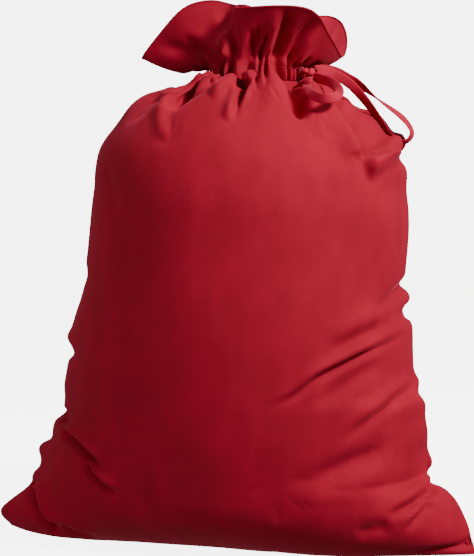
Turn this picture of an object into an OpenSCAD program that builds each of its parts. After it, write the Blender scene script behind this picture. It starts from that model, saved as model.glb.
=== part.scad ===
// A filled drawstring gift sack: two velvet panels sewn into a pillow-shaped
// bag, a cord channel around the neck, a double-layer ruffle above it, and a
// flat drawstring that leaves the channel at the right and ends in two loops.
// +X is the sack's right, +Y its back, +Z up. The origin is on the floor,
// midway between the two bottom corners.

/* [Body] */
// Width across the two bottom corners
corner_w = 628; // [540:1:760]
// Width of the filled body at mid height
body_w = 426; // [350:1:510]
// Depth of the filled body, front to back
body_d = 384; // [310:1:470]
// Height of the body, from the floor to the cord channel
body_h = 614; // [500:1:750]
// How far the neck stands to the right of the corners' midpoint
lean = 22; // [0:1:45]
// How far the middle of the shoulder sits to the left of that line
shoulder_skew = 9; // [0:1:16]
// Radius of the rounded edge between the base and the wall
base_r = 72; // [50:1:80]
// Share of its depth that the body loses at the base
base_taper = 0.38; // [0.2:0.01:0.42]
// How sharply the side seams are pinched at the bottom corners
corner_pinch = 0.8; // [0.3:0.05:1]
// Thickness of one layer of velvet
cloth_t = 1.6; // [1:0.1:2.4]
// Width of the turned-in cloth beside each seam
seam_allow = 10; // [6:1:15]

/* [Neck] */
// Outer radius of the gathered neck
neck_r = 72; // [60:1:88]
// Height of the cord channel
channel_h = 18; // [16:0.5:26]
// Free space across the cord, between the channel's two layers
channel_gap = 4; // [3:0.1:7]
// Length of one sewing stitch
stitch_l = 4; // [2:0.5:6]
// Thickness of the sewing thread
thread_d = 0.9; // [0.6:0.1:1.2]
// Angle of the cord opening, from the right side towards the front
opening_angle = 25; // [10:1:40]
// Width of the cord opening
opening_w = 8; // [7:0.5:12]

/* [Ruffle] */
// Height of the ruffle above the channel
ruffle_h = 88; // [65:1:120]
// Width of the ruffle's top edge, left to right
ruffle_w = 268; // [220:1:320]
// Depth of the ruffle's top edge, front to back
ruffle_d = 170; // [150:1:220]
// How far the ruffle's left end droops
droop_left = 68; // [40:1:80]
// How far the ruffle's right end droops
droop_right = 46; // [30:1:60]
// How far the ruffle reaches to the left of the neck's centre line
ruffle_shift = 13; // [0:1:25]
// Depth of the waves at the ruffle's edge
wave_h = 5; // [0:0.5:8]
// Number of waves around the ruffle
waves = 10; // [6:2:14]

/* [Drawstring] */
// Width of the flat drawstring
cord_w = 12.7; // [10:0.1:14]
// Thickness of the flat drawstring
cord_t = 2.6; // [2:0.1:3.4]
// Radius of the knot
knot_r = 10; // [8:0.5:13]

/* [Hidden] */

velvet = "#A51D2E";
velvet_dark = "#7C1420";
facing_red = "#C23A4C";
cord_red = "#B3223A";
thread_red = "#6E0F1C";

half_steps = 36;                    // facets across half of the body or ruffle
arc_steps = 5;                      // rings on the rounded edge of the base
wall_steps = 7;                     // rings on the wall
top_steps = 9;                      // rings on the shoulder
ruffle_steps = 8;                   // rings on the ruffle
flare_top = 0.6;                    // share of the height where the corners end
shoulder_from = 0.72;               // share of the height where the shoulder starts
shoulder_power = 0.6;               // below 1 makes the shoulder fuller
layer_gap = 0.2;                    // air between two layers that only touch
channel_z = body_h;
channel_mid = body_h + channel_h / 2;
ruffle_z = body_h + channel_h;
cavity_out = neck_r - cloth_t;
cavity_in = cavity_out - channel_gap;
opening_h = cord_w + 1.7;
frame_t = 0.8;                      // height of the sewn edge around the opening
tack_h = 1.2;
knot_reach = neck_r + frame_t + knot_r + 1.2;

function flare(s) = s < flare_top ? pow(1 - s / flare_top, 2) : 0;
function shoulder(s) =
    s <= shoulder_from ? 1
    : pow(1 - pow((s - shoulder_from) / (1 - shoulder_from), 2), shoulder_power);
function undercut(z) = z >= base_r ? 0 : base_r * (1 - sqrt(1 - pow(1 - z / base_r, 2)));

// Half the width and half the depth at the height share s.
function half_w(s) =
    neck_r + (body_w / 2 - neck_r) * shoulder(s) + (corner_w - body_w) / 2 * flare(s);
function half_d(s) =
    neck_r + (body_d / 2 * (1 - base_taper * flare(s)) - neck_r) * shoulder(s)
    - undercut(s * body_h);
function pinch(s) = 1 + corner_pinch * flare(s);

// The middle of the ring at the height share s.
function middle(s) = lean * s - shoulder_skew * 4 * shoulder(s) * (1 - shoulder(s));

// A point of one ring: angle 0 is the right seam, 90 the middle, 180 the left seam.
function ring_point(s, w, d, z, angle) =
    [middle(s) + w * cos(angle), -d * pow(abs(sin(angle)), pinch(s)), z];

// Outward normal of a profile that has the half size f at s, as [sideways, up].
function slope(before, after, rise) =
    let (n = norm([rise, before - after])) [rise / n, (before - after) / n];
step_s = 0.002;
function wall_w(s) =
    slope(half_w(max(0, s - step_s)), half_w(min(1, s + step_s)), 2 * step_s * body_h);
function wall_d(s) =
    slope(half_d(max(0, s - step_s)), half_d(min(1, s + step_s)), 2 * step_s * body_h);

ring_shares = concat(
    [for (i = [0:arc_steps]) base_r * (1 - cos(90 * i / arc_steps)) / body_h],
    [for (i = [1:wall_steps])
        base_r / body_h + (shoulder_from - base_r / body_h) * i / wall_steps],
    [for (i = [1:top_steps])
        shoulder_from + (1 - shoulder_from) * sin(90 * i / top_steps)]
);
function angles(n) = [for (i = [0:n]) 180 * i / n];

function outer_ring(s) =
    [for (a = angles(half_steps)) ring_point(s, half_w(s), half_d(s), s * body_h, a)];
function inner_ring(s) =
    let (
        nw = wall_w(s),
        nd = wall_d(s),
        w = half_w(s) - cloth_t * pinch(s) * nw[0],
        d = half_d(s) - cloth_t * nd[0]
    )
    [for (a = angles(half_steps))
        ring_point(s, w, d, s * body_h
            - cloth_t * (nw[1] * pow(cos(a), 2) + nd[1] * pow(sin(a), 2)), a)];
function flat_ring(s, w, d, z) =
    [for (a = angles(half_steps)) ring_point(s, w, d, z, a)];

// Joins two grids of rings, an outer and an inner one, into one closed sheet.
module sheet_solid(outer, inner) {
    rows = len(outer);
    cols = len(outer[0]);
    shift = rows * cols;
    last = rows - 1;
    edge = cols - 1;
    grid = [for (r = [0:rows - 2], c = [0:cols - 2]) [r, c]];
    outside = [for (g = grid) each let (i = g[0] * cols + g[1])
        [[i, i + 1, i + cols], [i + 1, i + cols + 1, i + cols]]];
    inside = [for (g = grid) each let (i = shift + g[0] * cols + g[1])
        [[i, i + cols, i + 1], [i + 1, i + cols, i + cols + 1]]];
    foot = [for (c = [0:cols - 2]) each
        [[c, shift + c, c + 1], [c + 1, shift + c, shift + c + 1]]];
    head = [for (c = [0:cols - 2]) each let (i = last * cols + c)
        [[i, i + 1, shift + i], [i + 1, shift + i + 1, shift + i]]];
    right = [for (r = [0:rows - 2]) each let (i = r * cols)
        [[i, i + cols, shift + i], [i + cols, shift + i + cols, shift + i]]];
    left = [for (r = [0:rows - 2]) each let (i = r * cols + edge)
        [[i, shift + i, i + cols], [i + cols, shift + i, shift + i + cols]]];
    polyhedron(
        points = concat([for (r = outer) each r], [for (r = inner) each r]),
        faces = concat(outside, inside, foot, head, right, left),
        convexity = 6
    );
}

// The panel's rings, from the bottom seam over the base and up to the neck.
function panel_outer() = concat(
    [flat_ring(0, half_w(0), 0, 0)],
    [for (s = ring_shares) outer_ring(s)]
);
function panel_inner() = concat(
    [flat_ring(0, half_w(0) - cloth_t * pinch(0), 0, cloth_t)],
    [flat_ring(0, half_w(0) - cloth_t * pinch(0), half_d(0), cloth_t)],
    [for (i = [1:len(ring_shares) - 2]) inner_ring(ring_shares[i])],
    [flat_ring(1, cavity_out, cavity_out, body_h)]
);
module panel() {
    color(velvet) sheet_solid(panel_outer(), panel_inner());
}
module front_panel() {
    panel();
}
module back_panel() {
    mirror([0, 1, 0]) panel();
}

// A strip of turned-in cloth that follows the inside of one side seam.
seam_start = 2.5 * cloth_t;          // where the strip starts, inside the curved wall
seam_rings = [for (i = [3:len(ring_shares) - 3]) ring_shares[i]];
function seam_x(s, side, inset) =
    middle(s) + side * (half_w(s) - cloth_t * pinch(s) * wall_w(s)[0] - inset);
module side_seam_allowance(side) {
    color(velvet_dark)
        rotate([90, 0, 0])
            linear_extrude(2 * cloth_t, center = true)
                polygon(concat(
                    [for (s = seam_rings) [seam_x(s, side, seam_start), s * body_h]],
                    [for (i = [len(seam_rings) - 1:-1:0]) let (s = seam_rings[i])
                        [seam_x(s, side, seam_start + seam_allow), s * body_h]]
                ));
}
module left_seam_allowance() {
    side_seam_allowance(-1);
}
module right_seam_allowance() {
    side_seam_allowance(1);
}
module bottom_seam_allowance() {
    length = corner_w - 6 * seam_allow;
    color(velvet_dark)
        translate([-length / 2, -cloth_t, cloth_t + layer_gap])
            cube([length, 2 * cloth_t, seam_allow]);
}

// Neck pieces are turned about the neck's own axis.
module at_neck(z) {
    translate([lean, 0, z]) children();
}
module at_opening() {
    rotate(-opening_angle) children();
}
module neck_ring(r_out, r_in, z0, h) {
    at_neck(z0)
        difference() {
            cylinder(r = r_out, h = h, $fn = 96);
            translate([0, 0, -1]) cylinder(r = r_in, h = h + 2, $fn = 96);
        }
}
module opening_slot() {
    at_neck(channel_mid)
        at_opening()
            translate([(neck_r + cavity_in) / 2, -opening_w / 2, -opening_h / 2])
                cube([neck_r, opening_w, opening_h]);
}
module channel_outer() {
    color(velvet)
        difference() {
            neck_ring(neck_r, cavity_out, channel_z, channel_h);
            opening_slot();
        }
}
module channel_inner() {
    color(facing_red) neck_ring(cavity_in, cavity_in - cloth_t, channel_z, channel_h);
}

// Stitches lie on the channel's outside, a thread's thickness apart from it.
opening_edge = 2.5;                 // width of the sewn edge around the opening
stitch_count = round(PI * neck_r / stitch_l);
function frame_half_angle() = asin((opening_w / 2 + opening_edge) / neck_r);
module stitch_row(z) {
    turn = 360 / stitch_count;
    clear = frame_half_angle() + turn;
    color(thread_red)
        at_neck(z)
            at_opening()
                for (a = [clear:turn:360 - clear])
                    rotate(a)
                        translate([neck_r + thread_d / 2 + 0.1, 0, 0])
                            rotate([90, 0, 0])
                                cylinder(d = thread_d, h = stitch_l, center = true, $fn = 16);
}
module lower_channel_stitches() {
    stitch_row(channel_z + thread_d + 0.3);
}
module upper_channel_stitches() {
    stitch_row(ruffle_z - thread_d - 0.3);
}

// The ruffle rises from the channel and flares out to a drooping, wavy edge.
function ruffle_edge(a) = [
    -ruffle_shift + (ruffle_w / 2 + wave_h * cos(waves * a)) * cos(a),
    -(ruffle_d / 2 + wave_h * cos(waves * a)) * sin(a),
    ruffle_h - (cos(a) > 0 ? droop_right : droop_left) * pow(abs(cos(a)), 3)
];
function ruffle_point(u, a) =
    let (
        foot = [neck_r * cos(a), -neck_r * sin(a), 0],
        bend = foot + [0, 0, ruffle_h * 0.45]
    )
    pow(1 - u, 2) * foot + 2 * u * (1 - u) * bend + u * u * ruffle_edge(a);
function ruffle_normal(u, a) =
    let (
        across = ruffle_point(u, a + 0.5) - ruffle_point(u, a - 0.5),
        up = ruffle_point(u + 0.01, a) - ruffle_point(max(0, u - 0.01), a),
        n = cross(up, across)
    )
    n / norm(n);
function ruffle_rings(inset) =
    [for (i = [0:ruffle_steps]) let (u = i / ruffle_steps)
        [for (a = angles(half_steps))
            ruffle_point(u, a) - inset * ruffle_normal(u, a) + [lean, 0, ruffle_z]]];
module ruffle_layer(inset) {
    sheet_solid(ruffle_rings(inset), ruffle_rings(inset + cloth_t));
}
module front_ruffle() {
    color(velvet) ruffle_layer(0);
}
module back_ruffle() {
    color(velvet) mirror([0, 1, 0]) ruffle_layer(0);
}
module front_ruffle_facing() {
    color(facing_red) ruffle_layer(cloth_t + layer_gap);
}
module back_ruffle_facing() {
    color(facing_red) mirror([0, 1, 0]) ruffle_layer(cloth_t + layer_gap);
}

// The ruffle's rolled hem: a closed bead along the ends of its two layers.
hem_r = cloth_t + layer_gap / 2;
hem_sides = 8;
hem_steps = 2 * half_steps;
function hem_ring(a) =
    let (
        n = ruffle_normal(1, a),
        up = ruffle_point(1, a) - ruffle_point(0.97, a),
        out = up / norm(up),
        centre = ruffle_point(1, a) - hem_r * n + (hem_r + layer_gap) * out
    )
    [for (k = [0:hem_sides - 1])
        centre + hem_r * (cos(360 * k / hem_sides) * n + sin(360 * k / hem_sides) * out)
            + [lean, 0, ruffle_z]];
module ruffle_hem() {
    rings = [for (i = [0:hem_steps - 1]) hem_ring(360 * i / hem_steps)];
    color(velvet_dark)
        polyhedron(
            points = [for (r = rings) each r],
            faces = [for (i = [0:hem_steps - 1], k = [0:hem_sides - 1]) each let (
                j = (i + 1) % hem_steps,
                m = (k + 1) % hem_sides,
                p = i * hem_sides,
                q = j * hem_sides
            ) [[p + k, q + k, p + m], [p + m, q + k, q + m]]],
            convexity = 6
        );
}

// The drawstring inside the channel, open where it leaves.
module channel_cord() {
    r_mid = (cavity_out + cavity_in) / 2;
    gap_angle = asin(opening_w / 2 / r_mid);
    color(cord_red)
        at_neck(channel_mid - cord_w / 2)
            at_opening()
                rotate(gap_angle)
                    rotate_extrude(angle = 360 - 2 * gap_angle, $fn = 96)
                        translate([r_mid - cord_t / 2, 0]) square([cord_t, cord_w]);
}
module cord_opening() {
    half_angle = frame_half_angle();
    color(thread_red)
        difference() {
            at_neck(channel_z + layer_gap)
                at_opening()
                    rotate(-half_angle)
                        rotate_extrude(angle = 2 * half_angle, $fn = 96)
                            translate([neck_r + layer_gap / 4, 0])
                                square([frame_t, channel_h - 2 * layer_gap]);
            opening_slot();
        }
}
module bar_tacks() {
    color(thread_red)
        for (side = [-1, 1])
            at_neck(channel_mid + side * (opening_h + tack_h) / 2 - tack_h / 2)
                at_opening()
                    translate([neck_r + frame_t + layer_gap, -opening_w / 2, 0])
                        cube([frame_t, opening_w, tack_h]);
}
module exit_strands() {
    start = (cavity_out + cavity_in) / 2 + cord_t / 2 + layer_gap;
    end = knot_reach - knot_r - layer_gap;
    color(cord_red)
        at_neck(channel_mid - cord_w / 2)
            at_opening()
                for (side = [-1, 1])
                    translate([start, side * (cord_t / 2 + layer_gap) - cord_t / 2, 0])
                        cube([end - start, cord_t, cord_w]);
}

knot = [lean, 0, channel_mid]
    + knot_reach * [cos(opening_angle), -sin(opening_angle), 0];
module drawstring_knot() {
    color(cord_red) translate(knot) sphere(r = knot_r, $fn = 48);
}

// Each row is a point of the cord's middle line, measured from the knot's
// centre, and the turn of its flat side: 0 is flat to the sack's right side.
long_route = [
    [10.3, 1.2, 3.4, 80], [21, 4.5, 5, 80], [35, 12, 0, 85], [53, 20, -14, 95],
    [68, 25, -34, 110], [83, 27, -53, 125], [96, 28, -70, 135], [107, 28, -79, 145],
    [118, 28, -83, 155], [129, 29, -82, 160], [136, 30, -75, 160], [137, 31, -66, 160],
    [132, 33, -56, 155], [124, 35, -47, 150], [113, 36, -38, 155], [101, 38, -30, 165],
    [89, 39, -21, 180], [78, 39, -13, 200], [67, 39, -4, 225], [56, 38, 3, 245],
    [45, 34, 8, 255], [33, 27, 11, 260], [20, 18, 10, 260], [6.7, 6.7, 5.3, 260]
];
short_route = [
    [1.1, -9, -6.2, 90], [5, -24, -12, 90], [11, -40, -18, 90], [21, -55, -25, 90],
    [33, -65, -29, 90], [45, -68, -29, 90], [55, -63, -26, 90], [58, -52, -21, 90],
    [51, -40, -15, 90], [38, -29, -10, 90], [23, -18, -7, 90], [8.4, -6.2, -4, 90]
];

// A smooth line through the route's points, with two steps between neighbours.
function spline(a, b, c, d, t) =
    0.5 * (2 * b + (c - a) * t + (2 * a - 5 * b + 4 * c - d) * t * t
        + (3 * b - a - 3 * c + d) * t * t * t);
function smooth(route, steps) =
    let (last = len(route) - 1)
    concat(
        [for (i = [0:last - 1], k = [0:steps - 1])
            spline(route[max(0, i - 1)], route[i], route[i + 1],
                route[min(last, i + 2)], k / steps)],
        [route[last]]
    );
function place(row) = [row[0], row[1], row[2]];
function power(x, p) = sign(x) * pow(abs(x), p);
cord_sides = 10;
function cord_ring(line, i) =
    let (
        last = len(line) - 1,
        along = place(line[min(last, i + 1)]) - place(line[max(0, i - 1)]),
        t = along / norm(along),
        side = cross(cross(t, [0, 1, 0]), t),
        across = side / norm(side),
        other = cross(t, across),
        turn = line[i][3],
        flat = cos(turn) * across + sin(turn) * other,
        thin = cross(t, flat)
    )
    [for (k = [0:cord_sides - 1]) let (a = 360 * k / cord_sides)
        place(line[i]) + cord_w / 2 * power(cos(a), 0.6) * flat
            + cord_t / 2 * power(sin(a), 0.8) * thin];
module cord_tube(route) {
    line = smooth(route, 2);
    rings = len(line);
    color(cord_red)
        translate(knot)
            polyhedron(
                points = [for (i = [0:rings - 1]) each cord_ring(line, i)],
                faces = concat(
                    [for (i = [0:rings - 2], k = [0:cord_sides - 1]) each let (
                        m = (k + 1) % cord_sides,
                        p = i * cord_sides
                    ) [[p + k, p + cord_sides + k, p + m],
                       [p + m, p + cord_sides + k, p + cord_sides + m]]],
                    [[for (k = [0:cord_sides - 1]) k]],
                    [[for (k = [cord_sides - 1:-1:0]) (rings - 1) * cord_sides + k]]
                ),
                convexity = 6
            );
}
module long_loop() {
    cord_tube(long_route);
}
module short_loop() {
    cord_tube(short_route);
}

front_panel();
back_panel();
left_seam_allowance();
right_seam_allowance();
bottom_seam_allowance();
channel_outer();
channel_inner();
lower_channel_stitches();
upper_channel_stitches();
front_ruffle();
back_ruffle();
front_ruffle_facing();
back_ruffle_facing();
ruffle_hem();
channel_cord();
cord_opening();
bar_tacks();
exit_strands();
drawstring_knot();
long_loop();
short_loop();
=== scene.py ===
# %% [markdown]
# # A filled velvet gift sack
#
# The sack is a pillow-shaped bag of two velvet panels, packed full, with a
# drawstring that gathers its neck under a double-layer ruffle. Hard parts of a
# model can be drawn from plain solids, but cloth can't: it has to bulge, pleat
# and crease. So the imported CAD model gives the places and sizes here, and each
# cloth piece is a surface worked out with numpy on a grid of two parameters.

# %% The frame
import math

import bpy
import numpy as np
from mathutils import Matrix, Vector


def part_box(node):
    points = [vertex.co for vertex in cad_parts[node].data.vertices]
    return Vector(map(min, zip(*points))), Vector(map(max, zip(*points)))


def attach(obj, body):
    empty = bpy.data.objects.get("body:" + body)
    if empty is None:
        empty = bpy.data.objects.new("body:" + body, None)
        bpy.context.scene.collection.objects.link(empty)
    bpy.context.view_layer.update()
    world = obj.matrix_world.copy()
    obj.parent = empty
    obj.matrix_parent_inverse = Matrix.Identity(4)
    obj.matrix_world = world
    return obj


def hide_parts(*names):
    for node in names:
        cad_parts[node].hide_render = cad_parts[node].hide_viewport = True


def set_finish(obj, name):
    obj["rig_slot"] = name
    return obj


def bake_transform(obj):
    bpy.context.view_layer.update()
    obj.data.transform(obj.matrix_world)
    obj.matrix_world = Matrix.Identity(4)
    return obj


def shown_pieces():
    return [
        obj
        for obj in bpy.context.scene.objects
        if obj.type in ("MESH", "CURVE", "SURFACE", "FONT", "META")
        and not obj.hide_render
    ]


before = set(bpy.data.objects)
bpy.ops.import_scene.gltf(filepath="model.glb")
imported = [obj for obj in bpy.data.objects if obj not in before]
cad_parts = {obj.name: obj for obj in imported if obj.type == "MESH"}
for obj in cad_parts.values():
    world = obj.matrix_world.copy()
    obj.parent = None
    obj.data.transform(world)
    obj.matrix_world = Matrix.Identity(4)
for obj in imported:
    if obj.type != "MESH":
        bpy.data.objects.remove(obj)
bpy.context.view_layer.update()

# %% [markdown]
# ## The camera
#
# A standing sack is best seen from about its own height and with a long lens,
# so that its upright sides stay upright. The camera stands a little
# to the right of the front, and slightly above the middle of the sack. The
# half height of the view, measured at the sack, fixes the lens angle.

# %% Camera
VIEW_TURN = math.radians(12)        # how far to the right of the front it stands
VIEW_LIFT = math.radians(3)         # how far above the horizon
VIEW_DISTANCE = 2.2
VIEW_HALF_HEIGHT = 0.370
VIEW_CENTRE = Vector((-0.0037, 0.0, 0.357))


def camera_at(turn, lift, distance, centre, half_height):
    """A camera on a sphere around the centre, looking at it."""
    data = bpy.data.cameras.new("camera")
    camera = bpy.data.objects.new("camera", data)
    bpy.context.collection.objects.link(camera)
    back = Vector((math.sin(turn) * math.cos(lift),
                   -math.cos(turn) * math.cos(lift), math.sin(lift)))
    camera.location = centre + distance * back
    camera.rotation_euler = (-back).to_track_quat("-Z", "Y").to_euler()
    data.sensor_fit = "VERTICAL"
    data.angle = 2 * math.atan(half_height / distance)
    return camera


camera = camera_at(VIEW_TURN, VIEW_LIFT, VIEW_DISTANCE, VIEW_CENTRE, VIEW_HALF_HEIGHT)
bpy.context.scene.camera = camera
print("camera at", [round(v, 3) for v in camera.location])

# %% [markdown]
# ## Grids that become meshes
#
# Every piece below is a grid of points: rows in one direction, columns in the
# other. One helper turns such a grid into a mesh, so the shape functions only
# have to return numbers. A grid may close on itself around its columns, like a
# tube, and it may leave cells out, like a buttonhole. The helper also stores
# the grid's own two coordinates, in metres, as a UV map for the materials.


# %% Grid helpers
def unit(vectors):
    """Each vector divided by its own length."""
    return vectors / np.maximum(np.linalg.norm(vectors, axis=-1, keepdims=True), 1e-12)


def smoothstep(low, high, value):
    """0 below low, 1 above high, and a smooth S between them."""
    t = np.clip((value - low) / (high - low), 0, 1)
    return t * t * (3 - 2 * t)


def signed_power(wave, power):
    """The size of a wave raised to a power, with the wave's own sign."""
    return np.sign(wave) * np.abs(wave)**power


def numbered(rows, cols):
    """The numbers of a grid's points, row after row."""
    return np.arange(rows * cols).reshape(rows, cols)


def cell_corners(number, wrap):
    """Point numbers of each grid cell, as corner, next row, opposite, next column."""
    if wrap:
        number = np.concatenate([number, number[:, :1]], axis=1)
    corners = (number[:-1, :-1], number[1:, :-1], number[1:, 1:], number[:-1, 1:])
    return np.stack(corners, axis=-1)


def surface_lengths(grid):
    """How far each point lies along its column and along its row, in metres."""
    along = np.linalg.norm(np.diff(grid, axis=0), axis=2).mean(1)
    around = np.linalg.norm(np.diff(grid, axis=1), axis=2).mean(0)
    up = np.concatenate([[0], np.cumsum(along)])
    side = np.concatenate([[0], np.cumsum(around)])
    return np.stack(np.broadcast_arrays(side[None, :], up[:, None]), axis=-1)


def mesh_from(name, points, faces, uv=None):
    """An object at the origin with these points and four-cornered faces."""
    mesh = bpy.data.meshes.new(name)
    mesh.from_pydata(points.tolist(), [], faces.tolist())
    mesh.polygons.foreach_set("use_smooth", np.ones(len(faces), bool))
    if uv is not None:
        layer = mesh.uv_layers.new(name="cloth")
        layer.data.foreach_set("uv", uv[faces.ravel()].astype(np.float32).ravel())
    mesh.update()
    piece = bpy.data.objects.new(name, mesh)
    bpy.context.collection.objects.link(piece)
    return piece


def grid_piece(name, grid, wrap=False, flip=False, keep=None):
    """A piece from a grid. keep marks the cells that stay; flip turns it inside out."""
    cells = cell_corners(numbered(*grid.shape[:2]), wrap)
    if keep is not None:
        cells = cells[keep]
    faces = cells.reshape(-1, 4)
    if flip:
        faces = faces[:, ::-1]
    uv = surface_lengths(grid).reshape(-1, 2)
    return mesh_from(name, grid.reshape(-1, 3), faces, uv)


def finer(grid):
    """Twice the columns and rows of a grid that wraps around. A new point lies on
    the cubic through its four neighbours in line: -1/16, 9/16, 9/16, -1/16."""
    between = (9 * grid + 9 * np.roll(grid, -1, 1) - np.roll(grid, 1, 1)
               - np.roll(grid, -2, 1)) / 16
    wide = np.stack([grid, between], axis=2).reshape(len(grid), -1, 3)
    padded = np.concatenate([wide[:1], wide, wide[-1:]])
    tall = np.empty((2 * len(grid) - 1,) + wide.shape[1:])
    tall[0::2] = wide
    tall[1::2] = (9 * padded[1:-2] + 9 * padded[2:-1] - padded[:-3] - padded[3:]) / 16
    return tall


def subdivided(piece, levels=1):
    """Rounds a piece off with a live Subdivision Surface."""
    modifier = piece.modifiers.new("Rounding", "SUBSURF")
    modifier.levels = levels
    modifier.render_levels = levels
    return piece


def fitted(piece, node, finish, body="sack"):
    """Rides a piece on a body, in the place of a CAD node, with one finish."""
    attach(piece, body)
    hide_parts(node)
    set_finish(piece, finish)
    return piece


# %% [markdown]
# ## The drawstring's two loops
#
# The drawstring is a flat velvet strip, 12.7 mm wide and 2.6 mm thick, sewn
# into a ring. Pulled out of the channel and knotted, it leaves one long and one
# short loop. A loop could be a curve object with a bevel, but a flat strip also
# turns about its own length, so here a flattened oval is carried along the
# route, and each point of the route says how far the strip is turned there.

# %% Drawstring sizes
MM = 0.001
channel_low, channel_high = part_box("channel_outer")
CHANNEL_Z = channel_low.z
CHANNEL_H = channel_high.z - channel_low.z
NECK_R = (channel_high.x - channel_low.x) / 2
NECK_X = (channel_high.x + channel_low.x) / 2
knot_low, knot_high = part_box("drawstring_knot")
KNOT = np.array((knot_low + knot_high) / 2)
KNOT_R = (knot_high.x - knot_low.x) / 2
CORD_W = 12.7 * MM
CORD_T = 2.6 * MM
print("neck radius", round(NECK_R, 4), "knot at", KNOT.round(4))

# Each row: a point from the knot's centre in millimetres, and the turn in degrees.
LONG_ROUTE = np.array([
    [10.3, 1.2, 3.4, 80], [21, 4.5, 4, 80], [34, 12, -1, 85], [51, 19, -12, 95],
    [66, 23, -28, 110], [80, 25, -46, 125], [92, 26, -64, 135], [102, 27, -78, 145],
    [112, 28, -86, 155], [122, 29, -87, 160], [129, 30, -81, 160], [130, 31, -73, 160],
    [125, 33, -64, 155], [117, 35, -55, 150], [107, 36, -47, 155], [96, 38, -39, 165],
    [85, 39, -31, 180], [75, 39, -23, 200], [65, 39, -15, 225], [55, 38, -8, 245],
    [44, 34, -2, 255], [33, 27, 4, 260], [20, 18, 7, 260], [6.7, 6.7, 5.3, 260]])
SHORT_ROUTE = np.array([
    [1.1, -9, -6.2, 90], [3, -26, -12, 90], [6, -44, -20, 90], [13, -61, -28, 90],
    [24, -74, -34, 90], [36, -79, -36, 90], [46, -74, -34, 90], [49, -61, -27, 90],
    [43, -46, -19, 90], [32, -31, -12, 90], [20, -18, -8, 90], [8.4, -6.2, -4, 90]])


# %% Flat strips along a route
def smooth_through(points, steps):
    """Catmull-Rom: between two points, a cubic whose slope at each is half the
    step from the point before it to the point after it."""
    last = len(points) - 1
    i = np.repeat(np.arange(last), steps)
    t = np.tile(np.arange(steps) / steps, last)[:, None]
    a, b = points[np.maximum(i - 1, 0)], points[i]
    c, d = points[i + 1], points[np.minimum(i + 2, last)]
    line = 0.5 * (2 * b + (c - a) * t + (2 * a - 5 * b + 4 * c - d) * t**2
                  + (3 * b - a - 3 * c + d) * t**3)
    return np.concatenate([line, points[-1:]])


def strip_directions(line, turn):
    """The flat and the thin direction at each point of a line. With no turn the
    flat side faces the way that is square to the line and closest to Y."""
    along = np.empty_like(line)
    along[1:-1] = line[2:] - line[:-2]
    along[0] = line[1] - line[0]
    along[-1] = line[-1] - line[-2]
    along = unit(along)
    across = unit(np.cross(np.cross(along, [0.0, 1.0, 0.0]), along))
    other = np.cross(along, across)
    turn = np.radians(turn)[:, None]
    flat = np.cos(turn) * across + np.sin(turn) * other
    return flat, np.cross(along, flat)


def flat_tube(line, flat, thin, width, thickness, sides=20):
    """A flattened oval carried along a line: cosine to the power 0.6 along the
    flat direction, sine to the power 0.8 along the thin one. Its ends are closed
    by rings that shrink to the line's own end points."""
    angle = 2 * np.pi * np.arange(sides) / sides
    wide = signed_power(np.cos(angle), 0.6) * width / 2
    tall = signed_power(np.sin(angle), 0.8) * thickness / 2
    ring = (wide[None, :, None] * flat[:, None, :] + tall[None, :, None] * thin[:, None, :])
    shrink = np.ones(len(line) + 4)
    shrink[[0, -1]] = 1e-4
    shrink[[1, -2]] = 0.7
    repeat = np.concatenate([[0, 0], np.arange(len(line)), [len(line) - 1] * 2])
    return line[repeat][:, None, :] + ring[repeat] * shrink[:, None, None]


def drawstring_loop(name, route, steps=5):
    """One loop of the drawstring as a mesh tube, and the line that it follows."""
    rows = smooth_through(route, steps)
    line = KNOT + rows[:, :3] * MM
    flat, thin = strip_directions(line, rows[:, 3])
    tube = flat_tube(line, flat, thin, CORD_W, CORD_T)
    return grid_piece(name, tube, wrap=True), line


def line_length(line):
    """The sum of the distances between neighbouring points."""
    return float(np.linalg.norm(np.diff(line, axis=0), axis=1).sum())


long_loop, long_line = drawstring_loop("drawstring_long_loop", LONG_ROUTE)
short_loop, short_line = drawstring_loop("drawstring_short_loop", SHORT_ROUTE)
for loop, line, node, body in (
        (long_loop, long_line, "long_loop", "hanging_loop"),
        (short_loop, short_line, "short_loop", "side_loop")):
    fitted(loop, node, "drawstring_velvet", body)
    print(loop.name, "length", round(line_length(line), 3))

# %% [markdown]
# ## The stuffed form
#
# Two flat panels sewn together and packed full make a pillow that stands on
# one end: round in the middle, narrow at the gathered neck, and with two
# pinched corners that stick out at the floor. It could be inflated from flat
# cloth, but then its outline is left to chance. Here each level is a ring, an
# oval whose sides get sharper towards the corners, and smooth curves give its
# width and depth at each height. A last pair of curves makes the two sides
# differ by a few millimetres, as hand packing does.

# %% Body sizes
panel_low, panel_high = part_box("front_panel")
BODY_H = CHANNEL_Z
CORNER_W = panel_high.x - panel_low.x
BODY_D = -2 * panel_low.y
BODY_W = 426 * MM
BASE_R = 72 * MM
BASE_TAPER = 0.38
BASE_ROWS = 9                       # rows between the bottom seam and the base's edge
CORNER_PINCH = 0.8
SHOULDER_SKEW = 9 * MM
FLOOR_GAP = 0.3 * MM                # how far the lowest cloth stays above the floor
COLUMNS = 264                       # grid columns all the way around
HALF = COLUMNS // 2
around = 2 * np.pi * np.arange(COLUMNS) / COLUMNS   # 0 is the right seam, then the front
print("body", round(CORNER_W, 3), round(BODY_D, 3), round(BODY_H, 3))

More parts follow.
